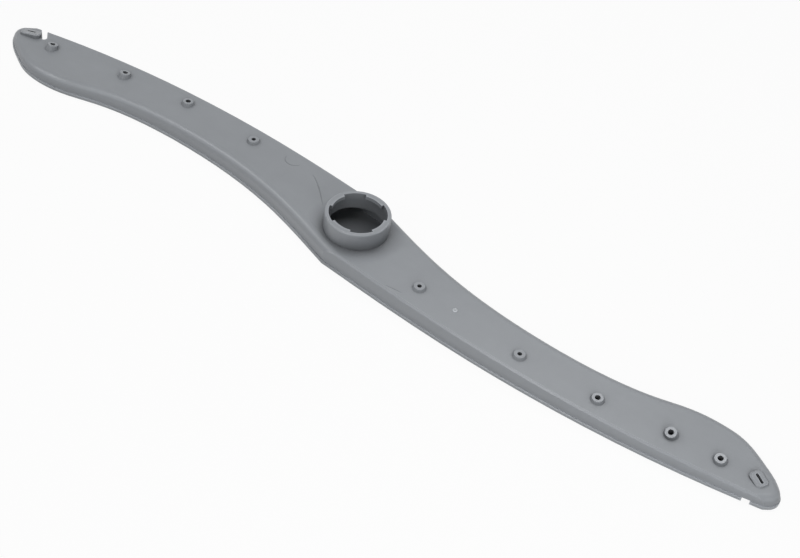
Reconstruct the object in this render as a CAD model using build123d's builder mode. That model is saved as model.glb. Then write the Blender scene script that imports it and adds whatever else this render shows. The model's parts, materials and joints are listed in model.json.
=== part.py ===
"""Dishwasher spray arm: two moulded shells welded round the edge and fed through a bayonet collar.

The origin is on the collar's axis at the underside. X runs from tip to tip, Z points up through the collar.
Seen from above the outline is the same after half a turn. The jets and the two tips differ.
"""
import os
from math import atan2, cos, degrees, radians, sin, sqrt

from build123d import *

# Whole arm
TIP_TO_TIP = 500.0
HUB_THICKNESS = 11.8
TIP_THICKNESS = 6.8

# Plan outline of the arm on the +X side: leading edge towards +Y, trailing edge towards -Y
CORNER_ALONG = 3.0
HUB_LAND = 5.4
NECK_FROM_COLLAR = 31.8
NECK_LEAD = 9.6
WAIST_ALONG = 107.0
WAIST_LEAD = 4.2
SHOULDER_FROM_TIP = 74.0
SHOULDER_LEAD = 13.4
HEAD_FROM_TIP = 36.2
HEAD_LEAD = 21.8
BROW_FROM_TIP = 15.0
BROW_LEAD = 15.0
TIP_RADIUS = 6.5
TIP_LEAD = 1.0
HEEL_FROM_TIP = 6.0
HEEL_TRAIL = 6.1
BACK_FROM_TIP = 94.0
BACK_TRAIL = 21.2
BELLY_ALONG = 78.0
BELLY_TRAIL = 25.3

# Headings of the outline in degrees, on the way from the hub round the tip and back
LEAD_HEADING = -17.4
CHEEK_HEADING = -55.0
CHIN_HEADING = -140.0
HEEL_HEADING = -166.5
HUB_HEADING = 177.0

# Shells
FLOOR = 2.4
WALL = 1.8
FLANGE_REACH = 0.6
LEADING_ROLL = 4.0
TRAILING_BEVEL = 0.9
SEAM_CHAMFER = 0.3
UNDER_CHAMFER = 0.5

# Feed collar with its bayonet lips
COLLAR_BORE = 30.4
COLLAR_WALL = 2.0
COLLAR_RISE = 10.3
COLLAR_RELIEF = 2.3
COLLAR_RIM_CHAMFER = 0.4
LIP_REACH = 1.4
LIP_DEPTH = 2.0
LIP_COUNT = 4
LIP_ANGLE = 44.0

# Round jets on raised bosses that lean towards the trailing edge
BOSS_TOP = 5.6
BOSS_FOOT = 7.4
BOSS_SILL = 1.5
INNER_JET_BORE = 2.4
OUTER_JET_BORE = 2.9

# Slit jets at the tips
SLIT_LENGTH = 5.6
SLIT_WIDTH = 1.4
SLIT_BOSS_WIDTH = 7.2
SLIT_BOSS_CORNER = 2.4
SLIT_BOSS_RISE = 1.3
SLIT_BOSS_CHAMFER = 0.7

# Slot through the trailing side of the -X tip, and the bite in the lower rim of the +X tip
SLOT_WIDTH = 3.4
SLOT_FROM_TIP = 18.5
SLOT_ACROSS = 2.1
SLOT_HEADING = 134.0
BITE_WIDTH = 4.0
BITE_DEPTH = 1.6
BITE_FROM_HEEL = 6.5

# Worked-out values
HALF = TIP_TO_TIP / 2 - FLANGE_REACH
CROWN_DROP = HUB_THICKNESS - TIP_THICKNESS
CROWN_RADIUS = (HALF**2 + CROWN_DROP**2) / (2 * CROWN_DROP)
COLLAR_OUTSIDE = COLLAR_BORE + 2 * COLLAR_WALL
COLLAR_TOP = HUB_THICKNESS + COLLAR_RISE
LIP_BORE = COLLAR_BORE - 2 * LIP_REACH
# How far the two side blocks reach past the arm they overlap in
OVERRUN = 16.0
FAR = 60.0
ON_EDGE = 0.001

# Round jets: along the arm, across it, lean in degrees towards the trailing edge, bore
JETS = [
    (50.0, -12.2, 0, INNER_JET_BORE),
    (112.6, -14.4, 0, INNER_JET_BORE),
    (HALF - 93.8, -10.9, 4, OUTER_JET_BORE),
    (HALF - 56.7, -4.1, 20, OUTER_JET_BORE),
    (HALF - 31.6, -0.9, 10, OUTER_JET_BORE),
    (-83.2, 14.9, 0, INNER_JET_BORE),
    (118.9 - HALF, 14.1, 5, OUTER_JET_BORE),
    (76.6 - HALF, 8.0, 13, OUTER_JET_BORE),
    (29.0 - HALF, -1.6, 16, OUTER_JET_BORE),
]
# Slit jets: along the arm, across it, lean to the trailing edge, pitch to the tip, turn in plan, boss length
SLITS = [
    (HALF - 12.4, 2.2, 0, 10, -26, 9.4),
    (10.6 - HALF, 0.2, 16, 8, 13, 12.6),
]


def turned(point):
    """The same point on the other arm, half a turn round the collar's axis."""
    return (-point[0], -point[1])


def moved(point, heading, distance):
    """A point moved by a distance along a heading in plan."""
    return (point[0] + distance * cos(radians(heading)), point[1] + distance * sin(radians(heading)))


def towards(heading):
    """Direction of a heading in plan."""
    return Vector(cos(radians(heading)), sin(radians(heading)))


def crown_at(along):
    """Height of the crowned top face at a distance along the arm."""
    return HUB_THICKNESS - CROWN_RADIUS + sqrt(CROWN_RADIUS**2 - along**2)


def leaning(along, across, lean, pitch=0, turn=0):
    """Plane on the top face whose normal leans to that arm's trailing edge and pitches to its tip."""
    side = 1 if along > 0 else -1
    normal = (side * sin(radians(pitch)), -side * sin(radians(lean)), cos(radians(lean)))
    plane = Plane(origin=(along, across, crown_at(along)), x_dir=(1, 0, 0), z_dir=normal)
    return plane.rotated((0, 0, turn))


def boss_rise(lean):
    """Height of a boss at its middle, with the low side of its lean a sill above the top face."""
    return (BOSS_SILL + BOSS_TOP / 2 * sin(radians(lean))) / cos(radians(lean))


def boss_flare(lean):
    """Angle at which a boss widens from its top to its foot on the top face."""
    return degrees(atan2((BOSS_FOOT - BOSS_TOP) / 2, boss_rise(lean)))


def above_crown(drop):
    """Side profile of all that stands above the crowned top face, lowered by a drop."""
    end = HALF + 2 * OVERRUN
    low = crown_at(end) - drop
    high = FLOOR + 2 * HUB_THICKNESS
    with BuildSketch(Plane.XZ) as profile:
        with BuildLine():
            ThreePointArc((-end, low), (0, HUB_THICKNESS - drop), (end, low))
            Polyline((end, low), (end, high), (-end, high), (-end, low))
        make_face()
    return profile.sketch


def stations(edge):
    """Places along a curved edge: the outline points that it passes, and halfway between each two."""
    passed = sorted(edge.param_at_point(point) for point in outline if edge.distance_to(point) < ON_EDGE)
    halfway = [(first + second) / 2 for first, second in zip(passed, passed[1:])]
    return sorted(passed + halfway)


def drawn_in(run, inset):
    """A run of edges moved to its right by an inset."""
    with BuildLine() as moved_run:
        for edge in run:
            places = stations(edge) if edge.geom_type == GeomType.BSPLINE else (0, 0.5, 1)
            points = [edge @ place + (edge % place).rotate(Axis.Z, -90) * inset for place in places]
            if edge.geom_type == GeomType.LINE:
                Line(points[0], points[-1])
            elif edge.geom_type == GeomType.CIRCLE:
                ThreePointArc(*points)
            else:
                Spline(*points, tangents=(edge % 0, edge % 1))
    return moved_run.edges()


def right_of(run):
    """All that lies to the right of a run of edges and of the same run on the other arm."""
    start = run[0] @ 0
    end = run[-1] @ 1
    with BuildSketch() as side:
        with BuildLine():
            for angle in (0, 180):
                add([edge.rotate(Axis.Z, angle) for edge in run])
                closing = Polyline(end, (end.X, -FAR), (-start.X, -FAR), -start, mode=Mode.PRIVATE)
                add(closing.rotate(Axis.Z, angle))
        make_face()
    return side.sketch


def arm_plan(inset=0):
    """Plan of the arm, drawn in by an inset."""
    with BuildSketch() as plan:
        add(right_of(drawn_in(leading_edge.edges(), inset)))
        add(right_of(drawn_in(trailing_edge.edges(), inset)), mode=Mode.INTERSECT)
    return plan.sketch


def slot_plan(grown=0):
    """Plan of the slot in the -X tip, grown on every side."""
    with BuildSketch() as plan:
        with Locations(Location((SLOT_FROM_TIP - HALF, SLOT_ACROSS, 0), (0, 0, SLOT_HEADING))):
            Circle(SLOT_WIDTH / 2 + grown)
            Rectangle(2 * OVERRUN, SLOT_WIDTH + 2 * grown, align=(Align.MIN, Align.CENTER))
    return plan.sketch


# Points of the +X arm's outline
corner = (CORNER_ALONG, COLLAR_OUTSIDE / 2 + HUB_LAND)
neck = (COLLAR_OUTSIDE / 2 + NECK_FROM_COLLAR, NECK_LEAD)
waist = (WAIST_ALONG, WAIST_LEAD)
shoulder = (HALF - SHOULDER_FROM_TIP, SHOULDER_LEAD)
head = (HALF - HEAD_FROM_TIP, HEAD_LEAD)
brow = (HALF - BROW_FROM_TIP, BROW_LEAD)
tip_centre = (HALF - TIP_RADIUS, TIP_LEAD)
cheek = moved(tip_centre, CHEEK_HEADING + 90, TIP_RADIUS)
nose = moved(tip_centre, 0, TIP_RADIUS)
chin = moved(tip_centre, CHIN_HEADING + 90, TIP_RADIUS)
heel = (HALF - HEEL_FROM_TIP, -HEEL_TRAIL)
back = (HALF - BACK_FROM_TIP, -BACK_TRAIL)
belly = (BELLY_ALONG, -BELLY_TRAIL)
hub_end = turned(corner)
outline = [corner, neck, waist, shoulder, head, brow, cheek, heel, back, belly, hub_end]

# Leading edge from before the hub corner, round the tip and on past the heel
with BuildLine() as leading_edge:
    Line(moved(corner, LEAD_HEADING, -OVERRUN), corner)
    Spline(corner, neck, waist, shoulder, head, tangents=(towards(LEAD_HEADING), towards(0)))
    Spline(head, brow, cheek, tangents=(towards(0), towards(CHEEK_HEADING)))
    ThreePointArc(cheek, nose, chin)
    Line(chin, moved(chin, CHIN_HEADING, OVERRUN))

# Trailing edge from beyond the tip, along the back and on past the other arm's hub corner
with BuildLine() as trailing_edge:
    Line(moved(heel, HEEL_HEADING, -OVERRUN - HEEL_FROM_TIP), heel)
    Spline(heel, back, belly, hub_end, tangents=(towards(HEEL_HEADING), towards(HUB_HEADING)))
    Line(hub_end, moved(hub_end, HUB_HEADING, OVERRUN))

# Water space between the shells
with BuildPart() as waterway:
    with BuildSketch(Plane.XY.offset(FLOOR)):
        add(arm_plan(WALL))
        add(slot_plan(WALL), mode=Mode.SUBTRACT)
    extrude(amount=HUB_THICKNESS)
    extrude(above_crown(WALL), amount=FAR, both=True, mode=Mode.SUBTRACT)

with BuildPart() as rolled:
    with BuildSketch(Plane.XY.offset(FLOOR)):
        add(right_of(leading_edge.edges()))
    extrude(amount=HUB_THICKNESS)
    extrude(above_crown(0), amount=2 * FAR, both=True, mode=Mode.SUBTRACT)
    crown = rolled.faces().sort_by(Axis.Z)[-1]
    fillet(crown.edges().filter_by(GeomType.BSPLINE), LEADING_ROLL)

with BuildPart() as bevelled:
    with BuildSketch(Plane.XY.offset(FLOOR)):
        add(right_of(trailing_edge.edges()))
    extrude(amount=HUB_THICKNESS)
    extrude(above_crown(0), amount=2 * FAR, both=True, mode=Mode.SUBTRACT)
    crown = bevelled.faces().sort_by(Axis.Z)[-1]
    chamfer(crown.edges().filter_by(GeomType.BSPLINE), TRAILING_BEVEL)

# Raised bosses of the jets, cut off within the skin
with BuildPart() as bosses:
    for along, across, lean, bore in JETS:
        with BuildSketch(leaning(along, across, lean).offset(boss_rise(lean))):
            Circle(BOSS_TOP / 2)
        extrude(amount=-boss_rise(lean) - 2 * WALL, taper=-boss_flare(lean))
    for along, across, lean, pitch, turn, boss_length in SLITS:
        boss_plane = leaning(along, across, lean, pitch, turn)
        brim = SLIT_BOSS_RISE - SLIT_BOSS_CHAMFER
        with BuildSketch(boss_plane.offset(brim)):
            RectangleRounded(boss_length, SLIT_BOSS_WIDTH, SLIT_BOSS_CORNER)
        extrude(amount=-brim - 2 * WALL)
        with BuildSketch(boss_plane.offset(brim)):
            RectangleRounded(boss_length, SLIT_BOSS_WIDTH, SLIT_BOSS_CORNER)
        extrude(amount=SLIT_BOSS_CHAMFER, taper=45)
    extrude(above_crown(WALL / 2), amount=FAR, both=True, mode=Mode.INTERSECT)

# Upper shell: crowned skin and side wall, collar, jets
with BuildPart() as upper_shell:
    add(rolled.part)
    add(bevelled.part, mode=Mode.INTERSECT)
    # Collar
    with BuildSketch(Plane.XY.offset(HUB_THICKNESS - WALL / 2)):
        Circle(COLLAR_OUTSIDE / 2)
    extrude(amount=COLLAR_RISE + WALL / 2)
    chamfer(upper_shell.edges().sort_by(Axis.Z)[-1], COLLAR_RIM_CHAMFER)
    add(waterway.part, mode=Mode.SUBTRACT)
    add(bosses.part)
    # Collar bore, relieved where it opens into the water space, and the mouth between the lips
    with BuildSketch(Plane.XY.offset(FLOOR)):
        Circle(COLLAR_BORE / 2)
    extrude(amount=COLLAR_TOP - LIP_DEPTH - FLOOR, mode=Mode.SUBTRACT)
    with BuildSketch(Plane.XY.offset(HUB_THICKNESS - WALL + COLLAR_RELIEF)):
        Circle(COLLAR_BORE / 2)
    extrude(amount=-COLLAR_RELIEF - WALL / 2, taper=-45, mode=Mode.SUBTRACT)
    with BuildSketch(Plane.XY.offset(COLLAR_TOP - LIP_DEPTH)):
        Circle(COLLAR_BORE / 2)
        with PolarLocations(0, LIP_COUNT):
            flanks = [moved((0, 0), side * LIP_ANGLE / 2, COLLAR_BORE) for side in (1, -1)]
            Polygon((0, 0), *flanks, align=None, mode=Mode.SUBTRACT)
        Circle(LIP_BORE / 2)
    extrude(amount=LIP_DEPTH, mode=Mode.SUBTRACT)
    # Jet bores and slits
    for along, across, lean, bore in JETS:
        with BuildSketch(leaning(along, across, lean).offset(boss_rise(lean))):
            Circle(bore / 2)
        extrude(amount=-boss_rise(lean) - 2 * WALL, mode=Mode.SUBTRACT)
    for along, across, lean, pitch, turn, boss_length in SLITS:
        with BuildSketch(leaning(along, across, lean, pitch, turn).offset(2 * SLIT_BOSS_RISE)):
            SlotOverall(SLIT_LENGTH, SLIT_WIDTH)
        extrude(amount=-2 * SLIT_BOSS_RISE - 2 * WALL, mode=Mode.SUBTRACT)
    # Slot in the -X tip
    add(slot_plan())
    extrude(amount=COLLAR_TOP, mode=Mode.SUBTRACT)
upper_shell.part.label = "upper_shell"

# Lower shell: flat floor that closes the arm, with a flange past the upper wall that is welded to it
with BuildPart() as lower_shell:
    add(arm_plan(-FLANGE_REACH))
    extrude(amount=FLOOR)
    chamfer(lower_shell.faces().sort_by(Axis.Z)[-1].edges(), SEAM_CHAMFER)
    chamfer(lower_shell.faces().sort_by(Axis.Z)[0].edges(), UNDER_CHAMFER)
    # Slot in the -X tip and bite in the rim of the +X tip
    add(slot_plan())
    extrude(amount=FLOOR, mode=Mode.SUBTRACT)
    with BuildSketch(Plane(Location(moved(heel, HEEL_HEADING, BITE_FROM_HEEL), (0, 0, HEEL_HEADING)))):
        Rectangle(BITE_WIDTH, 2 * BITE_DEPTH + 2 * FLANGE_REACH)
    extrude(amount=FLOOR, mode=Mode.SUBTRACT)
lower_shell.part.label = "lower_shell"

os.makedirs("parts", exist_ok=True)
for shell in (upper_shell, lower_shell):
    export_step(shell.part, f"parts/{shell.part.label}.step")
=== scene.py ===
"""Looks of a dishwasher spray arm: satin grey moulded plastic, lying on a white studio floor.

Lengths are in metres in the part's own frame: X from tip to tip, Z up through the collar.
"""
import json
from math import cos, radians, sin

import bmesh
import bpy
import numpy as np
from mathutils import Matrix, Vector

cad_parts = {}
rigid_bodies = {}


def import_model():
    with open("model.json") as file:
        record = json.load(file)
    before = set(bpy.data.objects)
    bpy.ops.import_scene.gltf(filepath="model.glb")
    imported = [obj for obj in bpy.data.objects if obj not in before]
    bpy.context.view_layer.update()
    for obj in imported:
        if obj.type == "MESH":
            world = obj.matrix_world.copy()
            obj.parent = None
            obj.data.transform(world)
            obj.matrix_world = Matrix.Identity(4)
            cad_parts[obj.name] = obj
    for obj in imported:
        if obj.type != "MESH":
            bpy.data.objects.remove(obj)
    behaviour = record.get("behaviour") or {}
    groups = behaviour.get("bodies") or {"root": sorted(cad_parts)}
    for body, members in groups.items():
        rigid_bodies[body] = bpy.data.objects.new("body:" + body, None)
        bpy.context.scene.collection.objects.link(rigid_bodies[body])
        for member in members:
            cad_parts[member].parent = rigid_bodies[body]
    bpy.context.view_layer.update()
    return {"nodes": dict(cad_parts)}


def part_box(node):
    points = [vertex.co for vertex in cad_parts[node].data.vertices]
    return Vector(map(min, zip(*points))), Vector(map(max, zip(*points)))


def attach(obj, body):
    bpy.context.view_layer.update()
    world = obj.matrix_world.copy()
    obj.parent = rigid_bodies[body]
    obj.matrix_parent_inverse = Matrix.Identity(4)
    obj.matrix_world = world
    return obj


for leftover in list(bpy.data.objects):
    bpy.data.objects.remove(leftover)
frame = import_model()

MM = 0.001
WHITE = (1, 1, 1, 1)

# Camera: focal length in pixels of a picture this wide, angles in degrees, and the point that it looks at
PICTURE_WIDTH = 800
SENSOR_WIDTH = 36.0
FOCAL_PIXELS = 1534.67
CAMERA_AZIMUTH = 30.74
CAMERA_ELEVATION = 43.82
CAMERA_ROLL = 9.62
CAMERA_DISTANCE = 776.03 * MM
CAMERA_TARGET = Vector((35.59, -7.80, 4.88)) * MM

# Crown of the upper shell: its height over the hub, and its drop towards each tip
lowest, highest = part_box("upper_shell")
HALF_LENGTH = (highest.x - lowest.x) / 2
HUB_THICKNESS = 11.8 * MM
TIP_THICKNESS = 6.8 * MM
CROWN_DROP = HUB_THICKNESS - TIP_THICKNESS
CROWN_RADIUS = (HALF_LENGTH**2 + CROWN_DROP**2) / (2 * CROWN_DROP)

# Gate mark on the crown, in millimetres: its place in plan, and its profile of radius and rise
GATE_MARK = (72.2, -12.0)
GATE_PROFILE = [
    (0.0, 0.04),
    (0.4, 0.06),
    (0.75, 0.45),
    (0.95, 0.55),
    (1.15, 0.4),
    (1.35, -0.3),
    (0.0, -0.3),
]
GATE_SIDES = 48

# Low beads on the crown, in millimetres: stations in plan, width and rise
PIN_MARK = [(-62.7, 18.3), (-60.9, 15.2), (-57.6, 14.0), (-54.3, 15.2), (-52.6, 17.8)]
PIN_WIDTH = 0.6
FLOW_MARK = [(-23.0, 1.0), (-30.0, 7.4), (-36.0, 12.3), (-43.2, 16.7)]
FLOW_WIDTH = 0.8
# End of the second crease, beside the collar on the right arm, drawn in the painted shade tone
CREASE_END_MARK = [(36.4, -22.4), (41.2, -21.6), (45.9, -20.9)]
CREASE_END_WIDTH = 0.5
BEAD_RISE = 0.12
BEAD_STATIONS = 61
BEAD_SIDES = 12

# Points of a mark that lie closer than this are merged
MERGE_DISTANCE = 0.001 * MM

# Tones of the plastic, linear
UPPER_TONE = (0.285, 0.301, 0.322)
LOWER_TONE = (0.270, 0.285, 0.305)
# Pin ring and creases: a darker tone, the painted shade of these shallow marks
MARK_SHADE_TONE = (0.215, 0.228, 0.243)
# Gate mark: a lighter tone, a painted glint
GATE_GLINT_TONE = (0.42, 0.44, 0.46)

# Cloudy flow of the melt, drawn out along the arm, with finer blotches: scales are per metre
FLOW_SCALE = (14, 46, 46)
FLOW_DETAIL = 4.0
FLOW_SHARE = 1.2
BLOTCH_SCALE = 120.0
BLOTCH_DETAIL = 3.0
BLOTCH_SHARE = 0.6
CLOUD_OFFSET = 0.4
CLOUD_DARK = 0.94
CLOUD_LIGHT = 1.06

# Grain of the mould
GRAIN_SCALE = 2400.0
GRAIN_DETAIL = 2.0
GRAIN_STRENGTH = 0.25
GRAIN_DEPTH = 0.05 * MM

# Gloss: the least roughness, and what blotches and the painted shade add to it
LEAST_ROUGHNESS = 0.29
BLOTCH_ROUGHNESS = 0.1
PAINTED_SHADE_ROUGHNESS = 0.3
PLASTIC_IOR = 1.49

# Painted shade in the inner corners and hollows, which are also rougher there, and painted highlights on the
# outer edges
CORNER_SAMPLES = 8
PAINTED_SHADE_REACH = 10.0 * MM
PAINTED_SHADE_BUILD = 1.9
PAINTED_SHADE_SHARE = 0.35
PAINTED_HIGHLIGHT_REACH = 1.2 * MM
PAINTED_HIGHLIGHT_BUILD = 1.3
# Stronger painted highlight on the lower shell's edges, as on the ledge at the seam
RIM_PAINTED_HIGHLIGHT_BUILD = 2.6
PAINTED_HIGHLIGHT_SHARE = 1.45

# Painted shade in the bore, on the floor inside, and on the walls, darker towards the floor above the seam:
# bounds of radius and of height, each from unshaded to shaded, and depth
BORE_SHADE = ((15.9 * MM, 15.3 * MM), (21.0 * MM, 17.5 * MM), 0.4)
INNER_FLOOR_SHADE = ((30.0 * MM, 18.0 * MM), (1.2 * MM, 2.0 * MM), 0.65)
LOW_WALL_SHADE = ((0.0, 1.0 * MM), (6.0 * MM, 2.4 * MM), 0.22)

# Studio
FLOOR_GAP = 0.3 * MM
FLOOR_REACH = 6.0
FLOOR_TONE = 0.8
FLOOR_GLOW = 0.93
SKY_LEVEL = 0.08
SKY_SHINE = 1.0
LAMP_TARGET = Vector((0.03, 0.0, 0.0))
# Soft lamps: place, side, power, and whether the gloss shows the lamp
SOFT_LAMPS = {
    "left_lamp": ((-0.75, -0.44, 0.80), 0.35, 2.0, True),
    "front_lamp": ((-0.05, -0.85, 0.75), 0.3, 1.9, True),
    "right_lamp": ((0.50, -0.35, 0.25), 0.3, 1.1, False),
    "top_lamp": ((0.08, -0.04, 0.75), 0.4, 1.1, True),
    "back_lamp": ((0.0, 0.39, 1.13), 0.6, 3.1, True),
    "sheen_lamp": ((-0.06, 0.47, 0.95), 0.35, 0.9, True),
}


class Wire:
    """A shader value. Operators between wires and numbers add the Math node of the same expression."""

    def __init__(self, finish, socket):
        self.finish = finish
        self.socket = socket

    def also(self, name):
        """Another output of the same node."""
        return Wire(self.finish, self.socket.node.outputs[name])

    def maths(self, operation, first, second):
        """One Math node on two values."""
        return self.finish.node("ShaderNodeMath", {"operation": operation}, {0: first, 1: second})

    def __add__(self, other):
        return self.maths("ADD", self, other)

    def __radd__(self, other):
        return self.maths("ADD", other, self)

    def __sub__(self, other):
        return self.maths("SUBTRACT", self, other)

    def __rsub__(self, other):
        return self.maths("SUBTRACT", other, self)

    def __mul__(self, other):
        return self.maths("MULTIPLY", self, other)

    def __rmul__(self, other):
        return self.maths("MULTIPLY", other, self)

    def at_most(self, other):
        """The smaller of two values."""
        return self.maths("MINIMUM", self, other)


class Finish:
    """A node tree that is filled by one method, and handed out as wires."""

    def __init__(self, tree):
        self.tree = tree
        self.tree.nodes.clear()

    def node(self, kind, settings=None, sockets=None, output=0):
        """Adds a node: its settings first, then the values or wires of its sockets. Returns one output."""
        made = self.tree.nodes.new(kind)
        for name, value in (settings or {}).items():
            setattr(made, name, value)
        for key, value in (sockets or {}).items():
            if isinstance(value, Wire):
                self.tree.links.new(value.socket, made.inputs[key])
            else:
                made.inputs[key].default_value = value
        return Wire(self, made.outputs[output]) if len(made.outputs) else None

    def mix_colour(self, factor, first, second):
        """Colour between two others. The Mix node has its colours at inputs 6 and 7 and output 2."""
        return self.node("ShaderNodeMix", {"data_type": "RGBA"}, {0: factor, 6: first, 7: second}, 2)

    def noise(self, place, scale, detail):
        """Soft noise, from nought to one."""
        return self.node("ShaderNodeTexNoise", None, {"Vector": place, "Scale": scale, "Detail": detail})

    def steps(self, value, low, high):
        """Nought to one as a value goes from one bound to the other."""
        return self.node("ShaderNodeMapRange", None, {"Value": value, "From Min": low, "From Max": high})

    def openness(self, reach, inside):
        """One on open surface, and less near an inner corner of the same piece.

        Looking inside, it is less near an outer edge instead.
        """
        settings = {"samples": CORNER_SAMPLES, "only_local": True, "inside": inside}
        return self.node("ShaderNodeAmbientOcclusion", settings, {"Distance": reach}, "AO")


def new_finish(name):
    """An empty material and the node tree to fill."""
    material = bpy.data.materials.new(name)
    material.use_nodes = True
    return material, Finish(material.node_tree)


def shade(tone, share):
    """A tone made lighter or darker by a share, as a shader colour."""
    return tuple(channel * share for channel in tone) + (1.0,)


def moulded_plastic(name, tone, highlight_build=PAINTED_HIGHLIGHT_BUILD, shade_zones=()):
    """Satin moulded plastic with cloudy flow along the arm, grain of the mould, painted shade in inner
    corners and painted highlights on outer edges.

    Each shade zone is painted dark too, within its bounds of radius round the collar's axis and of height.
    """
    material, finish = new_finish(name)
    place = finish.node("ShaderNodeTexCoord", output="Object")
    stretched = finish.node("ShaderNodeMapping", None, {"Vector": place, "Scale": FLOW_SCALE})
    flow = finish.noise(stretched, 1.0, FLOW_DETAIL)
    blotch = finish.noise(place, BLOTCH_SCALE, BLOTCH_DETAIL)
    grain = finish.noise(place, GRAIN_SCALE, GRAIN_DETAIL)
    # Painted shade: the colour is darkened near inner corners and in hollows, where shade falls
    painted_shade = (1 - finish.openness(PAINTED_SHADE_REACH, inside=False)) * PAINTED_SHADE_BUILD
    height = finish.node("ShaderNodeSeparateXYZ", None, {"Vector": place}, "Z")
    level = finish.node("ShaderNodeVectorMath", {"operation": "MULTIPLY"}, {0: place, 1: (1, 1, 0)})
    from_axis = finish.node("ShaderNodeVectorMath", {"operation": "LENGTH"}, {0: level}, "Value")
    # Painted shade: darker within each zone's bounds of radius round the collar's axis and of height
    for radius_bounds, height_bounds, depth in shade_zones:
        zone_shade = finish.steps(from_axis, *radius_bounds) * finish.steps(height, *height_bounds)
        painted_shade = painted_shade + zone_shade * depth
    painted_shade = painted_shade.at_most(1.0)
    # Painted highlight: the colour is lightened on outer edges, standing in for the highlights on bevels and
    # rims
    painted_highlight = (1 - finish.openness(PAINTED_HIGHLIGHT_REACH, inside=True)) * highlight_build
    cloud = flow * FLOW_SHARE + blotch * BLOTCH_SHARE - CLOUD_OFFSET
    clean = finish.mix_colour(cloud, shade(tone, CLOUD_DARK), shade(tone, CLOUD_LIGHT))
    highlighted = finish.mix_colour(painted_highlight, clean, shade(tone, PAINTED_HIGHLIGHT_SHARE))
    colour = finish.mix_colour(painted_shade, highlighted, shade(tone, PAINTED_SHADE_SHARE))
    roughness = LEAST_ROUGHNESS + BLOTCH_ROUGHNESS * blotch + PAINTED_SHADE_ROUGHNESS * painted_shade
    relief = finish.node(
        "ShaderNodeBump",
        None,
        {"Strength": GRAIN_STRENGTH, "Distance": GRAIN_DEPTH, "Height": grain},
    )
    surface = finish.node(
        "ShaderNodeBsdfPrincipled",
        None,
        {"Base Color": colour, "Roughness": roughness, "IOR": PLASTIC_IOR, "Normal": relief},
    )
    finish.node("ShaderNodeOutputMaterial", None, {"Surface": surface})
    return material


def seen_directly(finish):
    """One for rays from the camera, and for those by reflection or through glass; otherwise nought."""
    rays = finish.node("ShaderNodeLightPath", output="Is Camera Ray")
    return rays + rays.also("Is Glossy Ray") + rays.also("Is Transmission Ray")


def white_floor_paint():
    """Matt floor that reads as white and still takes the arm's soft shadow."""
    material, finish = new_finish("studio_floor")
    matt = finish.node("ShaderNodeBsdfDiffuse", None, {"Color": shade(WHITE[:3], FLOOR_TONE)})
    white = finish.node("ShaderNodeEmission", None, {"Color": WHITE, "Strength": 1.0})
    share = seen_directly(finish) * FLOOR_GLOW
    surface = finish.node("ShaderNodeMixShader", None, {0: share, 1: matt, 2: white})
    finish.node("ShaderNodeOutputMaterial", None, {"Surface": surface})
    return material


def light_the_sky():
    """World: an even soft sky for the light, plain white where it is looked at."""
    world = bpy.data.worlds.new("studio_sky")
    world.use_nodes = True
    bpy.context.scene.world = world
    finish = Finish(world.node_tree)
    soft = finish.node("ShaderNodeBackground", None, {"Color": WHITE, "Strength": SKY_LEVEL})
    white = finish.node("ShaderNodeBackground", None, {"Color": WHITE, "Strength": SKY_SHINE})
    surface = finish.node("ShaderNodeMixShader", None, {0: seen_directly(finish), 1: soft, 2: white})
    finish.node("ShaderNodeOutputWorld", None, {"Surface": surface})


def crown_height(along):
    """Height of the crown: an arc of CROWN_RADIUS along X, with its peak of HUB_THICKNESS at the collar."""
    return HUB_THICKNESS - CROWN_RADIUS + np.sqrt(CROWN_RADIUS**2 - along**2)


def grid_piece(name, points, material):
    """A mesh from a grid of points that closes round its second direction, riding on the arm."""
    rows, columns = points.shape[:2]
    corner = np.arange(rows * columns).reshape(rows, columns)
    after = np.roll(corner, -1, axis=1)
    faces = np.stack([corner[:-1], after[:-1], after[1:], corner[1:]], axis=-1).reshape(-1, 4)
    mesh = bpy.data.meshes.new(name)
    mesh.from_pydata(points.reshape(-1, 3).tolist(), [], faces.tolist())
    work = bmesh.new()
    work.from_mesh(mesh)
    bmesh.ops.remove_doubles(work, verts=work.verts, dist=MERGE_DISTANCE)
    bmesh.ops.recalc_face_normals(work, faces=work.faces)
    work.to_mesh(mesh)
    work.free()
    mesh.polygons.foreach_set("use_smooth", np.ones(len(mesh.polygons), bool))
    mesh.materials.append(material)
    piece = bpy.data.objects.new(name, mesh)
    bpy.context.scene.collection.objects.link(piece)
    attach(piece, "root")


def turned_mark(name, centre, profile, material):
    """A profile of (radius, rise) turned round an upright axis, with each point set on the crown below it."""
    radius, rise = np.array(profile).T * MM
    turn = np.linspace(0, 2 * np.pi, GATE_SIDES, endpoint=False)
    along = centre[0] * MM + np.outer(radius, np.cos(turn))
    across = centre[1] * MM + np.outer(radius, np.sin(turn))
    points = np.stack([along, across, crown_height(along) + rise[:, None]], axis=-1)
    grid_piece(name, points, material)


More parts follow.
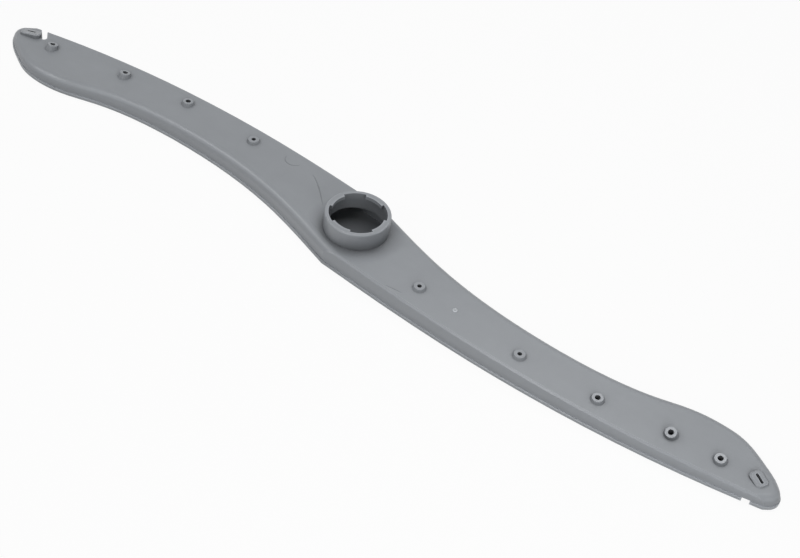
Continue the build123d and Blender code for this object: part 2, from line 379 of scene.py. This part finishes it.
def bead_mark(name, stations, width, material):
    """A low bead along a plan curve: an ellipse of its width and BEAD_RISE, scaled to nothing at both ends.

    The curve is the polynomial through the stations, and the scale is the root of sin(pi t).
    """
    stations = np.array(stations)
    step = np.linspace(0, 1, len(stations))
    t = np.linspace(0, 1, BEAD_STATIONS)
    curves = [np.polyfit(step, stations[:, axis], len(stations) - 1) for axis in (0, 1)]
    path = np.stack([np.polyval(curve, t) for curve in curves], axis=-1)
    heading = np.gradient(path, axis=0)
    heading /= np.linalg.norm(heading, axis=1, keepdims=True)
    side = np.stack([-heading[:, 1], heading[:, 0]], axis=-1)
    scale = np.sqrt(np.clip(np.sin(np.pi * t), 0, 1))
    turn = np.linspace(0, 2 * np.pi, BEAD_SIDES, endpoint=False)
    reach = np.outer(scale, np.cos(turn)) * width / 2
    plan = (path[:, None, :] + reach[..., None] * side[:, None, :]) * MM
    rise = np.outer(scale, np.sin(turn)) * BEAD_RISE * MM
    points = np.concatenate([plan, (crown_height(plan[..., 0]) + rise)[..., None]], axis=-1)
    grid_piece(name, points, material)


def lay_floor():
    """Large flat floor just under the arm."""
    signs = ((-1, -1), (1, -1), (1, 1), (-1, 1))
    corners = [(x * FLOOR_REACH, y * FLOOR_REACH, -FLOOR_GAP) for x, y in signs]
    mesh = bpy.data.meshes.new("studio_floor")
    mesh.from_pydata(corners, [], [(0, 1, 2, 3)])
    mesh.materials.append(white_floor_paint())
    floor = bpy.data.objects.new("studio_floor", mesh)
    bpy.context.scene.collection.objects.link(floor)


def towards(azimuth, elevation):
    """Direction from the arm at an azimuth, which is nought at -Y and grows towards +X, and an elevation."""
    turn, rise = radians(azimuth), radians(elevation)
    return Vector((sin(turn) * cos(rise), -cos(turn) * cos(rise), sin(rise)))


def hang_lamp(name, place, side, power, in_gloss):
    """A soft square lamp that faces the arm."""
    lamp = bpy.data.lights.new(name, "AREA")
    lamp.shape = "SQUARE"
    lamp.size = side
    lamp.energy = power
    holder = bpy.data.objects.new(name, lamp)
    holder.location = place
    holder.visible_camera = False
    holder.visible_glossy = in_gloss
    holder.rotation_euler = (LAMP_TARGET - holder.location).to_track_quat("-Z", "Y").to_euler()
    bpy.context.scene.collection.objects.link(holder)


def set_camera():
    """Camera on a line from its target: turned by its azimuth, raised by its elevation, then rolled."""
    roll = radians(CAMERA_ROLL)
    right = Vector((cos(radians(CAMERA_AZIMUTH)), sin(radians(CAMERA_AZIMUTH)), 0))
    back = towards(CAMERA_AZIMUTH, CAMERA_ELEVATION)
    up = back.cross(right)
    across = right * cos(roll) + up * sin(roll)
    upward = up * cos(roll) - right * sin(roll)
    pose = Matrix((across, upward, back)).transposed().to_4x4()
    pose.translation = CAMERA_TARGET + back * CAMERA_DISTANCE
    camera = bpy.data.objects.new("camera", bpy.data.cameras.new("camera"))
    camera.data.sensor_width = SENSOR_WIDTH
    camera.data.lens = FOCAL_PIXELS * SENSOR_WIDTH / PICTURE_WIDTH
    camera.matrix_world = pose
    bpy.context.scene.collection.objects.link(camera)
    bpy.context.scene.camera = camera


upper_plastic = moulded_plastic("upper_plastic_moulded", UPPER_TONE, shade_zones=(BORE_SHADE, LOW_WALL_SHADE))
lower_plastic = moulded_plastic("lower_plastic_moulded", LOWER_TONE, RIM_PAINTED_HIGHLIGHT_BUILD, (INNER_FLOOR_SHADE,))
mark_shade_plastic = moulded_plastic("upper_plastic_mark_painted_shade", MARK_SHADE_TONE, highlight_build=0.0)
gate_glint_plastic = moulded_plastic("upper_plastic_gate_painted_glint", GATE_GLINT_TONE)
frame["nodes"]["upper_shell"].material_slots[0].material = upper_plastic
frame["nodes"]["lower_shell"].material_slots[0].material = lower_plastic

turned_mark("gate_mark", GATE_MARK, GATE_PROFILE, gate_glint_plastic)
bead_mark("pin_mark", PIN_MARK, PIN_WIDTH, mark_shade_plastic)
bead_mark("flow_mark", FLOW_MARK, FLOW_WIDTH, mark_shade_plastic)
bead_mark("crease_end_mark", CREASE_END_MARK, CREASE_END_WIDTH, mark_shade_plastic)

lay_floor()
light_the_sky()
for lamp_name, lamp_setting in SOFT_LAMPS.items():
    hang_lamp(lamp_name, *lamp_setting)
set_camera()
bpy.context.scene.view_settings.view_transform = "Standard"
